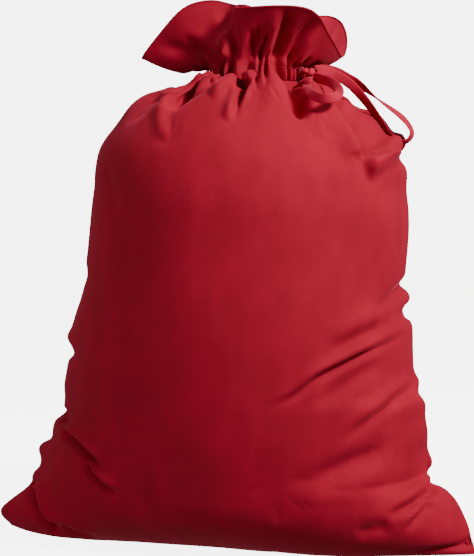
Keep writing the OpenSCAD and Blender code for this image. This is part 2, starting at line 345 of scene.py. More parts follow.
# Height and how much further out the cloth stands than the plain form, in mm.
LEFT_SIDE = np.array([
    [0, 8], [5, 18], [10, 27], [16, 33], [24, 36], [34, 34], [46, 29], [58, 22], [68, 17],
    [75, 18], [82, 20], [90, 21], [100, 21], [112, 22], [120, 20], [129, 14], [137, 13],
    [150, 17], [159, 17], [166, 14], [173, 6], [180, 10], [196, 13], [215, 18], [262, 19],
    [300, 19], [342, 9], [400, 4], [469, 0], [500, 5], [533, 11], [570, 6], [590, 2], [604, 2],
    [610, 2], [614, -12]], float)
RIGHT_SIDE = np.array([
    [0, 2], [20, 5], [40, 9], [66, 8], [80, 2], [91, -6], [101, -19], [109, -17],
    [119, -13], [134, -9], [156, -1], [180, 2], [203, 7], [222, -3], [262, 0], [296, 2], [318, -3],
    [342, -7], [370, -6], [420, -4], [470, -6], [500, 2], [517, -1], [533, 7], [549, 0],
    [614, 0]], float)


# %% Body form
def flare(share):
    """How far the corners spread: a parabola from 1 at the floor to 0 at 0.6."""
    return np.where(share < 0.6, (1 - np.minimum(share, 0.6) / 0.6)**2, 0)


def shoulder(share):
    """1 up to 0.72 of the height, then a rounded fall to 0 at the neck."""
    t = np.clip((share - 0.72) / 0.28, 0, 1)
    return (1 - t * t)**0.6


def half_width(share):
    """From the neck's radius to the body's half width with the shoulder's curve,
    and on out to the corners with the flare."""
    return (NECK_R + (BODY_W / 2 - NECK_R) * shoulder(share)
            + (CORNER_W - BODY_W) / 2 * flare(share))


def half_depth(share):
    """The oval's depth, less a quarter circle where the wall rounds into the base."""
    low = np.clip(1 - share * BODY_H / BASE_R, 0, 1)
    rounding = BASE_R * (1 - np.sqrt(1 - low**2))
    full = BODY_D / 2 * (1 - BASE_TAPER * flare(share))
    return NECK_R + (full - NECK_R) * shoulder(share) - rounding


def middle(share):
    """The rings' centre moves to the neck's with the height. In the shoulder it
    leans left, by a parabola of the shoulder's curve."""
    return NECK_X * share - SHOULDER_SKEW * 4 * shoulder(share) * (1 - shoulder(share))


def side_extra(points, height):
    """Reads a smooth curve through (height, extra) points, both in millimetres."""
    curve = smooth_through(points, 8) * MM
    return np.interp(height, curve[:, 0], curve[:, 1])


def body_rows():
    """Height share of each row, and the share of its depth: the first rows lie in
    the base between the bottom seam and its edge, the others climb the wall."""
    edge = BASE_R / BODY_H
    base = np.zeros(BASE_ROWS)
    arc = edge * (1 - np.cos(np.linspace(0, np.pi / 2, 13)))
    wall = np.linspace(edge, 0.72, 62)[1:]
    top = 0.72 + 0.28 * np.sin(np.linspace(0, np.pi / 2, 50))[1:]
    share = np.concatenate([base, arc, wall, top])
    base_depth = np.arange(BASE_ROWS) / BASE_ROWS
    depth = np.concatenate([base_depth, np.ones(len(share) - BASE_ROWS)])
    return share, depth


def stuffed_form(share, depth):
    """Rings of the plain stuffed sack: x follows the cosine of the angle around
    it, and y a power of the sine that rises towards the corners. In the base the
    rings also end up to 3% short of the corners, so that no two points meet."""
    share, depth = share[:, None], depth[:, None]
    height = share * BODY_H
    cosine, sine = np.cos(around)[None, :], np.sin(around)[None, :]
    extra = np.where(cosine > 0, side_extra(RIGHT_SIDE, height),
                     side_extra(LEFT_SIDE, height)) * np.abs(cosine)
    x = middle(share) + (half_width(share) + extra) * cosine * (0.97 + 0.03 * depth)
    power = 1 + CORNER_PINCH * flare(share)
    y = -half_depth(share) * depth * signed_power(sine, power)
    return np.stack([x, y, np.broadcast_to(height, x.shape)], axis=-1)


def outward(grid):
    """The direction square to a grid that wraps around, away from its inside."""
    around_step = np.roll(grid, -1, 1) - np.roll(grid, 1, 1)
    up_step = np.gradient(grid, axis=0)
    return unit(np.cross(up_step, around_step))


row_share, row_depth = body_rows()
form = stuffed_form(row_share, row_depth)
print("body grid", form.shape, "reaches", form.min((0, 1)).round(3), form.max((0, 1)).round(3))

# %% [markdown]
# ## Pleats, folds and the raised corner
#
# Where cloth is gathered on a string, its spare width turns into pleats. Each
# one starts at the string and runs out at a different distance from it. The
# stuffing also pushes folds into the cloth wherever it sags: short, tight ones
# beside the corners, and long soft ones across the right side. Sculpting them
# by hand isn't repeatable, and chance alone puts them in the wrong places, so
# each fold is a short line of points, with a valley along it and a ridge beside
# it. They are drawn in the plane that one side of the sack shows to a viewer,
# and act only on the cloth that faces that way.

# %% Pleats
chance = np.random.default_rng(11)
PLEATS = 28
PLEAT_DEPTH = 12 * MM


def uneven_steps(count, unevenness):
    """Places of count steps around the sack, 0 to 1, with uneven widths."""
    widths = 1 + unevenness * chance.uniform(-1, 1, count)
    return np.concatenate([[0], np.cumsum(widths)]) / widths.sum()


share_around = np.arange(COLUMNS) / COLUMNS
pleat_edges = uneven_steps(PLEATS, 0.7)
pleat_phase = np.interp(share_around, pleat_edges, np.arange(PLEATS + 1))
pleat_wave = (1 - np.cos(2 * np.pi * pleat_phase)) / 2      # 0 on a ridge, 1 in a valley


def per_pleat(low, high, edges):
    """A random value for each pleat, carried smoothly around the sack."""
    values = chance.uniform(low, high, len(edges))
    values[-1] = values[0]
    return np.interp(share_around, edges, values)


pleat_depth = PLEAT_DEPTH * per_pleat(0.35, 1.5, pleat_edges)
pleat_reach = per_pleat(14 * MM, 34 * MM, pleat_edges)
wide_edges = uneven_steps(15, 0.4)
wide_wave = (1 - np.cos(2 * np.pi * np.interp(share_around, wide_edges, np.arange(16)))) / 2
wide_depth = per_pleat(3 * MM, 7 * MM, wide_edges)
wide_reach = per_pleat(50 * MM, 105 * MM, wide_edges)


def pleats_below(grid):
    """How far the pleats push the body's cloth inwards, fading with the distance
    below the string."""
    below = BODY_H - grid[..., 2]
    narrow = pleat_depth * pleat_wave * smoothstep(1, 0, below / pleat_reach)
    front = smoothstep(-0.2, 0.5, np.sin(around + VIEW_TURN))
    wide = wide_depth * wide_wave * (1 - 0.75 * front)
    wide = wide * smoothstep(1, 0.1, below / wide_reach) * smoothstep(0, 1, below / (18 * MM))
    return narrow + wide


def puff_below(grid):
    """The stuffing pushes the cloth out around the string: a bump that starts at
    the string, is full 12 mm below it and ends 60 mm below."""
    below = BODY_H - grid[..., 2]
    return 5 * MM * smoothstep(0, 12 * MM, below) * smoothstep(60 * MM, 12 * MM, below)


def puff_over(grid):
    """It also lifts the cloth past the string's lower edge: a rise that is full
    9 mm away from the neck and ends 48 mm away, and leaves the knot free."""
    away = np.hypot(grid[..., 0] - NECK_X, grid[..., 1]) - NECK_R
    knot_side = np.exp(-((np.degrees(around) - 25) / 16)**2)
    rise = 10 * MM * (1 - 0.9 * knot_side) * (1 - 0.35 * pleat_wave)
    return rise * smoothstep(-1 * MM, 9 * MM, away) * smoothstep(48 * MM, 9 * MM, away)


# %% Folds
# width and depth of the valley, height of the ridge on the left of the line's
# direction (negative: on its right), how much of the line fades at its two ends,
# then the line's points across and above the floor, all in mm.
FRONT_FOLDS = [
    # the right side
    (5, 9, -7, (.4, .5), [[222, 294], [174, 277], [145, 266], [99, 245], [67, 221], [28, 204]]),
    (11, 5, 0, (.3, .5), [[190, 266], [150, 246], [110, 220], [84, 196]]),
    (7, 8, 0, (0, .6), [[232, 356], [214, 349], [187, 334], [168, 321]]),
    (6, 4, 0, (0, .5), [[236, 322], [216, 318], [200, 315]]),
    (9, 6, -4, (.4, .5), [[196, 312], [176, 305], [155, 298], [125, 285], [104, 279]]),
    (7, 7, -5, (.3, .5), [[226, 221], [212, 215], [196, 207], [174, 193], [147, 176], [120, 156]]),
    (15, 9, 5, (.4, .5), [[222, 172], [174, 148], [142, 135], [83, 114], [40, 108]]),
    (6, 12, -6, (.1, .5), [[254, 91], [228, 78], [209, 69], [184, 61]]),
    (5, 9, -5, (.2, .4), [[246, 76], [234, 63], [225, 54], [210, 39]]),
    (11, 6, 0, (.3, .5), [[196, 54], [174, 47], [152, 43], [130, 41]]),
    (5, 7, 0, (.1, .4), [[304, 18], [284, 12], [250, 8], [215, 8]]),
    # the left corner
    (6, 22, 7, (.15, .1), [[-285, 76], [-282, 64], [-276, 50], [-263, 29], [-243, 8]]),
    (6, 28, 8, (.15, .45), [[-238, 152], [-222, 147], [-206, 138], [-190, 123], [-174, 107]]),
    (5, 20, 6, (.3, .35), [[-206, 120], [-192, 104], [-176, 91], [-157, 81]]),
    (6, 10, 4, (.2, .4), [[-262, 32], [-240, 24], [-216, 15], [-190, 9]]),
    (8, 8, 0, (0, .7), [[-240, 170], [-230, 166], [-220, 159]]),
    # the shoulder and the neck
    (8, 20, -8, (.1, .3), [[-36, 620], [-58, 606], [-80, 590], [-94, 576]]),
    (7, -9, 0, (.4, .4), [[-4, 618], [-22, 604], [-38, 590]]),
    (8, -10, 0, (.4, .4), [[12, 610], [-5, 583], [-19, 558]]),
    (5, 24, 0, (.1, .6), [[7, 624], [3, 604], [-4, 580], [-10, 556]]),
    (20, -12, 0, (.1, .5), [[34, 618], [42, 600], [50, 572]]),
    (9, 26, 8, (.1, .3), [[56, 620], [66, 610], [71, 592], [78, 576], [88, 566]]),
    (10, 34, -10, (.15, .2), [[118, 598], [134, 578], [150, 554], [160, 534], [164, 514]]),
    (9, -17, 0, (.2, .3), [[154, 503], [168, 508], [186, 516], [208, 524]]),
    (12, 14, 0, (.3, .3), [[136, 590], [156, 566], [174, 540], [188, 526]]),
    (9, -16, 0, (.3, .3), [[150, 588], [180, 562], [204, 540], [214, 522]]),
    (9, 5, 0, (.3, .5), [[-176, 515], [-163, 475], [-150, 433]]),
    (9, -6, 0, (.3, .5), [[-98, 592], [-99, 560], [-96, 535]]),
]
BACK_FOLDS = [
    (9, 14, 8, (0, .4), [[-236, 322], [-196, 300], [-150, 280], [-104, 268]]),
    (9, 11, 7, (0, .4), [[-250, 210], [-206, 196], [-170, 170], [-150, 140]]),
    (11, 16, 8, (0, .4), [[-285, 110], [-240, 92], [-214, 66], [-200, 40]]),
    (9, 13, -7, (0, .4), [[238, 262], [200, 250], [150, 224], [110, 210]]),
    (11, 16, -8, (0, .4), [[285, 104], [240, 88], [215, 62], [204, 34]]),
    (13, 8, -4, (.3, .5), [[215, 370], [170, 350], [120, 345]]),
    (10, 18, -9, (0, .4), [[-60, 622], [-92, 596], [-116, 566], [-130, 530]]),
    (10, 18, 9, (0, .4), [[64, 622], [98, 594], [124, 560], [136, 520]]),
    (8, -12, 0, (0, .4), [[-10, 622], [-16, 590], [-24, 560]]),
    (8, 15, 7, (0, .4), [[24, 622], [30, 590], [36, 556]]),
    (16, 6, 0, (.3, .5), [[-60, 250], [0, 236], [60, 244]]),
]
RUFFLE_FOLDS = [
    (6, 10, -5, (.4, 0), [[-18, 706], [-14, 680], [-8, 652], [-4, 632]]),
    (6, 9, 4, (.4, 0), [[-78, 676], [-48, 656], [-26, 642], [-14, 628]]),
    (9, 8, -5, (.6, 0), [[-116, 668], [-84, 658], [-50, 646], [-24, 630]]),
    (4, 9, 0, (.5, 0), [[15, 680], [16, 660], [18, 636]]),
    (4, 11, 0, (.5, 0), [[24, 684], [25, 660], [24, 636]]),
    (4, 11, 0, (.5, 0), [[37, 684], [33, 660], [29, 636]]),
    (7, 13, -6, (.5, 0), [[62, 700], [55, 676], [42, 640]]),
    (6, 9, 6, (.5, 0), [[100, 690], [78, 668], [62, 636]]),
]


def wider(folds, least=9):
    """The folds whose valley is at least so many millimetres wide."""
    return [fold for fold in folds if fold[0] >= least]


def narrower(folds, most=9):
    """The folds whose valley is narrower than so many millimetres."""
    return [fold for fold in folds if fold[0] < most]


def fold_push(grid, normals, folds, turn):
    """How far folds drawn in the plane of one view push each point outwards.
    Across a fold the valley is minus a Gaussian of the distance to the line, and
    the ridge a wider Gaussian beside it; both fade along the line's ends and on
    cloth that turns away from the view."""
    across = grid[..., 0] * math.cos(turn) + grid[..., 1] * math.sin(turn)
    spot = np.stack([across, grid[..., 2]], axis=-1)
    facing = normals[..., 0] * math.sin(turn) - normals[..., 1] * math.cos(turn)
    weight = smoothstep(-0.45, 0.1, facing)
    push = np.zeros(grid.shape[:2])
    for width, depth, ridge, fades, points in folds:
        line = smooth_through(np.array(points, float), 24) * MM
        width = width * MM
        span = (across > line[:, 0].min() - 4 * width) & (across < line[:, 0].max() + 4 * width)
        span &= (spot[..., 1] > line[:, 1].min() - 4 * width)
        span &= (spot[..., 1] < line[:, 1].max() + 4 * width)
        near = spot[span]
        gap = near[:, None, :] - line[None, :, :]
        closest = np.argmin((gap**2).sum(-1), axis=1)
        along = unit(np.gradient(line, axis=0))[closest]
        offset = gap[np.arange(len(near)), closest]
        distance = np.linalg.norm(offset, axis=1)
        side = np.sign(along[:, 0] * offset[:, 1] - along[:, 1] * offset[:, 0])
        place = closest / (len(line) - 1)
        strength = (smoothstep(-1e-3, max(fades[0], 1e-3), place)
                    * smoothstep(-1e-3, max(fades[1], 1e-3), 1 - place))
        beside = side * distance * (np.sign(ridge) or 1)
        shape = (-depth * np.exp(-(distance / width)**2)
                 + abs(ridge) * np.exp(-((beside - 1.7 * width) / (1.5 * width))**2))
        push[span] += shape * MM * strength
    return push * weight


# %% Body cloth
LEFT_LIFT = 11 * MM                 # how high the left corner's tip is raised
FRONT_LIFT = 10 * MM                # how high the base curls up at the front left


def raised_corner(grid):
    """The left corner bends up, and the base's edge curls up in front of it. A
    point rises with the square of how far it is past the corner's bend, and with
    how far it is in front of the bottom seam, and less the higher up it is."""
    past = np.clip((-grid[..., 0] - 0.225) / 0.095, 0, 1.2)
    front = smoothstep(0, 0.045, -grid[..., 1]) * smoothstep(0.17, -0.05, grid[..., 0])
    rise = LEFT_LIFT * past**2 + FRONT_LIFT * front
    grid = grid.copy()
    grid[..., 2] += rise * np.exp(-grid[..., 2] / 0.09)
    return grid


def seam_ditch(grid):
    """The cloth dips about 2 mm along the two side seams."""
    near = np.minimum(np.abs(np.sin(around / 2)), np.abs(np.cos(around / 2)))
    return 2 * MM * np.exp(-(near * 60)**2)[None, :] * smoothstep(0.05, 0.2, row_share)[:, None]


normals = outward(form)
push = (fold_push(form, normals, wider(FRONT_FOLDS), VIEW_TURN)
        + fold_push(form, normals, wider(BACK_FOLDS), VIEW_TURN + math.pi)
        + puff_below(form) - pleats_below(form) - seam_ditch(form))
push *= smoothstep(0, 14 * MM, form[..., 2] + 4 * MM)
body = form + normals * push[..., None]
body[..., 2] += puff_over(body) * smoothstep(0.85, 0.95, row_share)[:, None]
body = raised_corner(body)
body[..., 2] = np.maximum(body[..., 2], FLOOR_GAP)
body[-1] = form[-1] - normals[-1] * (pleat_depth * pleat_wave)[:, None]
body[-1, :, 2] = BODY_H
print("folds push from", round(float(push.min()), 4), "to", round(float(push.max()), 4))

# %% [markdown]
# ## Letting the cloth settle
#
# Drawn folds look carved, because nothing has pulled the cloth tight between
# them. So the bag with its broad folds goes through a short cloth simulation:
# the stuffing presses outwards, a little weight pulls down, and the gathered
# neck is held. The cloth keeps its drawn lengths, so folds stay where there is
# spare cloth and soften where there is none. A cap on how far a point may move,
# and less movement near the stiff side seams, keep the outline. One trap: the
# solver moves nothing at all when two points lie in the same place, so the grid
# has no such points. Tight creases would be lost in this, so they come
# afterwards, on a grid twice as fine.

# %% Settling
SETTLE_FRAMES = 7
SETTLE_CAP = 4 * MM
HELD_ROWS = 3


def welded_bag(grid):
    """Point numbers of a bag grid whose first row is one seam: the back half of
    that row uses the front half's points. Returns the faces, the points in use
    and the number of each grid point among them."""
    number = numbered(*grid.shape[:2])
    number[0, HALF + 1:] = number[0, 1:HALF][::-1]
    used, short = np.unique(number, return_inverse=True)
    short = short.reshape(number.shape)
    return cell_corners(short, True).reshape(-1, 4), used, short


def settled(grid):
    """The grid after a short cloth simulation under pressure, with its last rows
    held. A point moves no further than the cap, and less towards the side seams,
    where the seam allowance stiffens the cloth."""
    faces, used, short = welded_bag(grid)
    start = grid.reshape(-1, 3)[used]
    bag = mesh_from("settling_bag", start, faces)
    held = bag.vertex_groups.new(name="held")
    held.add([int(i) for i in np.unique(short[-HELD_ROWS:])], 1.0, "REPLACE")
    cloth = bag.modifiers.new("Cloth", "CLOTH")
    cloth.settings.quality = 5
    cloth.settings.mass = 0.3
    cloth.settings.tension_stiffness = 60
    cloth.settings.compression_stiffness = 60
    cloth.settings.shear_stiffness = 20
    cloth.settings.bending_stiffness = 2
    cloth.settings.vertex_group_mass = "held"
    cloth.settings.use_pressure = True
    cloth.settings.uniform_pressure_force = 4
    cloth.settings.effector_weights.gravity = 0.02
    cloth.collision_settings.use_collision = False
    cloth.point_cache.frame_end = SETTLE_FRAMES + 1
    for step in range(1, SETTLE_FRAMES + 1):
        bpy.context.scene.frame_set(step)
    result = bag.evaluated_get(bpy.context.evaluated_depsgraph_get()).to_mesh()
    moved = np.empty(len(start) * 3, np.float32)
    result.vertices.foreach_get("co", moved)
    moved = moved.reshape(-1, 3).astype(float) - start
    far = np.linalg.norm(moved, axis=1, keepdims=True)
    print("settling moves the cloth by", np.percentile(far, [50, 90, 100]).round(4))
    moved *= np.minimum(1, SETTLE_CAP / np.maximum(far, 1e-9))
    bpy.data.objects.remove(bag)
    bpy.context.scene.frame_set(1)
    from_seam = np.abs(np.sin(math.pi * np.arange(grid.shape[1]) / HALF))
    return grid + moved[short] * smoothstep(0.1, 0.6, from_seam)[:, None]


body = settled(body)
body[..., 2] = np.maximum(body[..., 2], FLOOR_GAP)

# %% Tight creases
fine = finer(body)
fine_normals = outward(fine)
crease = (fold_push(fine, fine_normals, narrower(FRONT_FOLDS), VIEW_TURN)
          + fold_push(fine, fine_normals, narrower(BACK_FOLDS), VIEW_TURN + math.pi))
crease *= smoothstep(0, 14 * MM, fine[..., 2] + 4 * MM)
crease *= smoothstep(0, 8, np.arange(len(fine))[::-1])[:, None]
fine = fine + fine_normals * crease[..., None]
fine[..., 2] = np.maximum(fine[..., 2], FLOOR_GAP)
body = fine[::2, ::2]
print("fine grid", fine.shape, "creases", crease.min().round(4), crease.max().round(4))

# %% Body panels
front_panel = grid_piece("velvet_front_panel", fine[:, :COLUMNS + 1])
back_panel = grid_piece("velvet_back_panel",
                        np.concatenate([fine[:, COLUMNS:], fine[:, :1]], axis=1))
for panel, node in ((front_panel, "front_panel"), (back_panel, "back_panel")):
    fitted(panel, node, "velvet")

# %% [markdown]
# ## Seam allowances
#
# Inside the sack, the panels' edges stand off each seam as a narrow double
# strip. Nobody sees it from outside, but whoever opens the sack does. Each
# strip is a ruled surface that follows the seam's own line, with a little wave
# along its free edge, so that it never pokes through the cloth outside.


# %% Seam strips
ALLOWANCE = 10 * MM


def seam_strip(name, line, inward, node, thickness=3 * MM):
    """A closed strip along a seam: a flattened oval carried along a line that
    lies half an allowance inside the seam."""
    wave = 0.12 * np.sin(np.arange(len(line)) * 0.9)[:, None]
    middle_line = line + inward * (4 * MM + ALLOWANCE / 2)
    flat = unit(inward + wave * np.cross(inward, unit(np.gradient(line, axis=0))))
    thin = np.cross(unit(np.gradient(line, axis=0)), flat)
    tube = flat_tube(middle_line, flat, thin, ALLOWANCE, thickness, sides=10)
    return fitted(grid_piece(name, tube, wrap=True), node, "velvet_back")


wall_rows = slice(14, 118)          # from above the base to below the gathers
left_strip = seam_strip("left_seam_strip", body[wall_rows, HALF],
                        -normals[wall_rows, HALF], "left_seam_allowance")
right_strip = seam_strip("right_seam_strip", body[wall_rows, 0],
                         -normals[wall_rows, 0], "right_seam_allowance")
bottom_line = body[0, 12:HALF - 12]
bottom_strip = seam_strip("bottom_seam_strip", bottom_line,
                          np.tile([0.0, 0.0, 1.0], (len(bottom_line), 1)),
                          "bottom_seam_allowance")
print("seam strips", [len(s.data.vertices) for s in (left_strip, right_strip, bottom_strip)])

# %% [markdown]
# ## The cord channel
#
# Two rows of stitching hold the sack's cloth and a facing together, and the
# drawstring runs between them. Everything here is gathered by the same string,
# so its pleats are the body's pleats carried on upwards: the same wave gives
# the radius of every ring around the neck.

# %% Neck rings
OPENING_ANGLE = math.radians(25)    # how far in front of the right side the slot is
SLOT_HALF_W = 5 * MM
SLOT_HALF_H = 7 * MM
LAYER_GAP = 6 * MM                  # between the channel's two layers


def neck_ring(radius, wave_depth, height, extra=0.0):
    """A ring around the neck: its radius falls by the pleats' wave, and on the
    left by as much as the body's own top ring."""
    top = np.where(np.cos(around) < 0, side_extra(LEFT_SIDE, BODY_H), 0.0)
    r = radius - wave_depth * pleat_wave + extra + top * np.cos(around)**2
    return np.stack([NECK_X + r * np.cos(around), -r * np.sin(around),
                     np.full(COLUMNS, height)], axis=-1)


def channel_rings(radius, wave_depth, rows, bulge):
    """Rings up the channel; it bulges between its two rows of stitches."""
    t = np.linspace(0, 1, rows)
    return np.stack([neck_ring(radius, wave_depth, CHANNEL_Z + CHANNEL_H * k,
                               bulge * math.sin(math.pi * k)**0.7 if 0 < k < 1 else 0.0)
                     for k in t])


outer_rings = channel_rings(NECK_R, pleat_depth, 13, 1.6 * MM)
cell_angle = (around + np.pi / COLUMNS)[None, :]
cell_height = (np.arange(12) + 0.5)[:, None] / 12 * CHANNEL_H
slot = ((np.abs(cell_angle - OPENING_ANGLE) < SLOT_HALF_W / NECK_R)
        & (np.abs(cell_height - CHANNEL_H / 2) < SLOT_HALF_H))
channel_outer = grid_piece("channel_outer_layer", outer_rings, wrap=True, keep=~slot)
inner_rings = channel_rings(NECK_R - LAYER_GAP, pleat_depth * 0.9, 7, -0.8 * MM)
channel_inner = grid_piece("channel_inner_layer", inner_rings, wrap=True, flip=True)
for piece, node, finish in ((channel_outer, "channel_outer", "velvet"),
                            (channel_inner, "channel_inner", "velvet_back")):
    fitted(subdivided(piece), node, finish)
print("channel", len(channel_outer.data.polygons), "cells, slot", int(slot.sum()))

# %% Channel cord
cord_line = neck_ring(NECK_R - LAYER_GAP / 2, pleat_depth * 0.95, CHANNEL_Z + CHANNEL_H / 2)
away = np.roll(np.arange(COLUMNS), -int(round(OPENING_ANGLE / (2 * np.pi) * COLUMNS)) - 6)
cord_line = cord_line[away[:-12]]
upright = np.tile([0.0, 0.0, 1.0], (len(cord_line), 1))
sideways = np.cross(unit(np.gradient(cord_line, axis=0)), upright)
channel_cord = grid_piece("channel_cord_strip", flat_tube(
    cord_line, upright, sideways, CORD_W, 1.6 * MM, sides=10), wrap=True)
fitted(channel_cord, "channel_cord", "drawstring_velvet")
print("cord inside the channel", round(line_length(cord_line), 3))


# %% Stitches
STITCH_L = 3.4 * MM
STITCH_GAP = 0.8 * MM
STITCH_T = 0.9 * MM
ROW_INSET = 1.4 * MM                # from the channel's edge to its row of stitches


def stitches(name, line, outside, length, gap, thickness):
    """Sewing stitches along a line: each one is a short rounded thread that dives
    into the cloth at its two ends. All of them are one array: stitch, ring, side."""
    distance = np.concatenate([[0], np.cumsum(np.linalg.norm(np.diff(line, axis=0), axis=1))])
    count = int((distance[-1] - length) / (length + gap))
    rings, sides = 7, 6
    t = np.linspace(0, 1, rings)
    at = (np.arange(count) * (length + gap) + gap / 2)[:, None] + t[None, :] * length
    centre = np.stack([np.interp(at, distance, line[:, k]) for k in range(3)], -1)
    up = unit(np.stack([np.interp(at, distance, outside[:, k]) for k in range(3)], -1))
    centre = centre + up * (thickness * (0.9 * np.sin(np.pi * t) - 0.45))[None, :, None]
    along = unit(np.gradient(centre, axis=1))
    across = np.cross(along, up)
    angle = 2 * np.pi * np.arange(sides) / sides
    ring = (np.cos(angle)[None, None, :, None] * up[:, :, None, :]
            + np.sin(angle)[None, None, :, None] * across[:, :, None, :])
    radius = thickness / 2 * np.sqrt(np.clip(1 - (2 * t - 1)**6, 1e-4, 1))
    points = centre[:, :, None, :] + ring * radius[None, :, None, None]
    cells = cell_corners(numbered(rings, sides), True).reshape(-1, 4)
    faces = (cells[None] + (np.arange(count) * rings * sides)[:, None, None]).reshape(-1, 4)
    print(name, count, "stitches")
    return mesh_from(name, points.reshape(-1, 3), faces)


def closed(ring):
    """A line with its first point repeated at its end."""
    return np.concatenate([ring, ring[:1]])


for name, node, height, row in (
        ("lower_stitch_row", "lower_channel_stitches", ROW_INSET, 1),
        ("upper_stitch_row", "upper_channel_stitches", CHANNEL_H - ROW_INSET, 11)):
    line = outer_rings[row] * [1, 1, 0] + [0, 0, CHANNEL_Z + height]
    outside = unit(line - [NECK_X, 0, CHANNEL_Z + height])
    line = line + outside * 0.3 * MM
    piece = stitches(name, closed(line), closed(outside), STITCH_L, STITCH_GAP, STITCH_T)
    fitted(piece, node, "thread")

# %% [markdown]
# ## The opening's edge and bar tacks
#
# The slot where the drawstring leaves is overcast like a buttonhole: thread
# wound around its edge, turn after turn. A bar tack, a short block of dense
# cross stitches, stops the slot from tearing at each end. Both are threads
# carried along a path, so the same idea serves: a helix around an oval.

# %% Overcast edge
OPENING_DIR = np.array([math.cos(OPENING_ANGLE), -math.sin(OPENING_ANGLE), 0.0])
OPENING_SIDE = np.array([math.sin(OPENING_ANGLE), math.cos(OPENING_ANGLE), 0.0])
CHANNEL_MID = np.array([NECK_X, 0.0, CHANNEL_Z + CHANNEL_H / 2])


def thread_tube(name, line, thickness, sides=6):
    """A round thread carried along a line."""
    flat, thin = strip_directions(line, np.zeros(len(line)))
    angle = 2 * np.pi * np.arange(sides) / sides
    ring = (np.cos(angle)[None, :, None] * flat[:, None, :]
            + np.sin(angle)[None, :, None] * thin[:, None, :]) * thickness / 2
    tube = line[:, None, :] + ring
    return grid_piece(name, np.concatenate([line[:1, None] + 0 * ring[:1], tube,
                                            line[-1:, None] + 0 * ring[-1:]]), wrap=True)


turns = 46
t = np.linspace(0, 1, turns * 8 + 1)
round_slot = 2 * np.pi * t
wind = 2 * np.pi * turns * t
reach_side = (4.6 * MM + 0.9 * MM * np.cos(wind)) * np.cos(round_slot)
reach_up = (7.6 * MM + 0.7 * MM * np.cos(wind)) * signed_power(np.sin(round_slot), 0.55)
stand = NECK_R + 0.9 * MM + 0.7 * MM * np.sin(wind)
edge_line = (CHANNEL_MID + stand[:, None] * OPENING_DIR + reach_side[:, None] * OPENING_SIDE
             + reach_up[:, None] * [0.0, 0.0, 1.0])
opening_edge = thread_tube("overcast_opening_edge", edge_line, 0.8 * MM)
fitted(opening_edge, "cord_opening", "thread")

# %% Bar tacks
t = np.linspace(0, 1, 20 * 8 + 1)
wind = 2 * np.pi * 20 * t
for end, height in (("upper", 8.2 * MM), ("lower", -8.2 * MM)):
    bar_line = (CHANNEL_MID + (NECK_R + 1.9 * MM + 0.5 * MM * np.sin(wind))[:, None] * OPENING_DIR
                + ((2 * t - 1) * 4 * MM)[:, None] * OPENING_SIDE
                + (height + 0.8 * MM * np.cos(wind))[:, None] * [0.0, 0.0, 1.0])
    fitted(thread_tube(end + "_bar_tack", bar_line, 0.5 * MM), "bar_tacks", "thread")
print("overcast edge and bar tacks", len(opening_edge.data.polygons))

# %% [markdown]
# ## The ruffle
#
# Above the string the cloth is free. It stands up from the neck, opens, and
# falls over under its own weight: far to the left, less to the right, with a
# deep fold in front of the left lobe. Its edge is one closed curve, drawn as
# points around the neck. A parabola carries the cloth from the gathered neck
# to that edge, and each point of the edge says how far out and how high the
# cloth bends on its way. The neck's pleats run up into it and die out.

# %% Ruffle edge
RUFFLE_Z = CHANNEL_Z + CHANNEL_H
# Place around the cloth in hundredths, then the edge's place to the right, to the
# front and above the foot in mm, then how far out (share) and how high (mm) it bends.
RUFFLE_EDGE = np.array([
    [0, 113, 4, 17, .55, 0], [4, 101, 42, 30, .45, 4], [8, 89, 70, 45, .3, 14],
    [12, 80, 87, 58, .2, 26], [16, 67, 98, 67, .12, 34], [20, 49, 103, 71, .08, 36],
    [25, 24, 103, 72, .05, 36], [29, 0, 101, 71, .05, 36], [32, -20, 93, 71, .05, 36],
    [34, -30, 78, 72, .1, 38], [35.5, -24, 46, 77, .1, 38], [37, -34, 26, 83, .15, 38],
    [39.5, -58, 30, 87, .2, 32], [42, -84, 32, 82, .3, 20], [44.5, -104, 30, 69, .4, 8],
    [47, -126, 18, 45, .5, 0], [49, -144, 6, 24, .55, -6], [50, -150, -2, 15, .55, -8],
    [51.5, -146, -18, 18, .5, -4], [55, -128, -44, 38, .35, 12], [59, -98, -62, 62, .2, 30],
    [63, -70, -52, 78, .12, 42], [66.5, -44, -80, 88, .08, 46], [70, -18, -56, 91, .06, 46],
    [74, 4, -86, 88, .06, 46], [78, 30, -60, 86, .06, 46], [82, 54, -84, 82, .1, 44],
    [86, 76, -58, 76, .15, 38], [90, 100, -56, 75, .25, 28], [93.5, 115, -40, 65, .35, 18],
    [96.5, 121, -22, 45, .45, 8], [98.7, 119, -8, 25, .5, 2]])


def around_closed(points, steps):
    """A closed smooth line: the points repeat once around, and the ends overlap."""
    before, after = points[-2:].copy(), points[:3].copy()
    before[:, 0] -= 100
    after[:, 0] += 100
    return smooth_through(np.concatenate([before, points, after]), steps)


edge_curve = around_closed(RUFFLE_EDGE, 8)
edge_values = np.stack([np.interp(share_around * 100, edge_curve[:, 0], edge_curve[:, k])
                        for k in range(1, 6)], axis=-1)


def view_to_frame(right, front, up):
    """Turns a place seen from the camera's side into one in the sack's frame."""
    x = right * math.cos(VIEW_TURN) + front * math.sin(VIEW_TURN)
    y = right * math.sin(VIEW_TURN) - front * math.cos(VIEW_TURN)
    return np.stack([x, y, up], axis=-1)


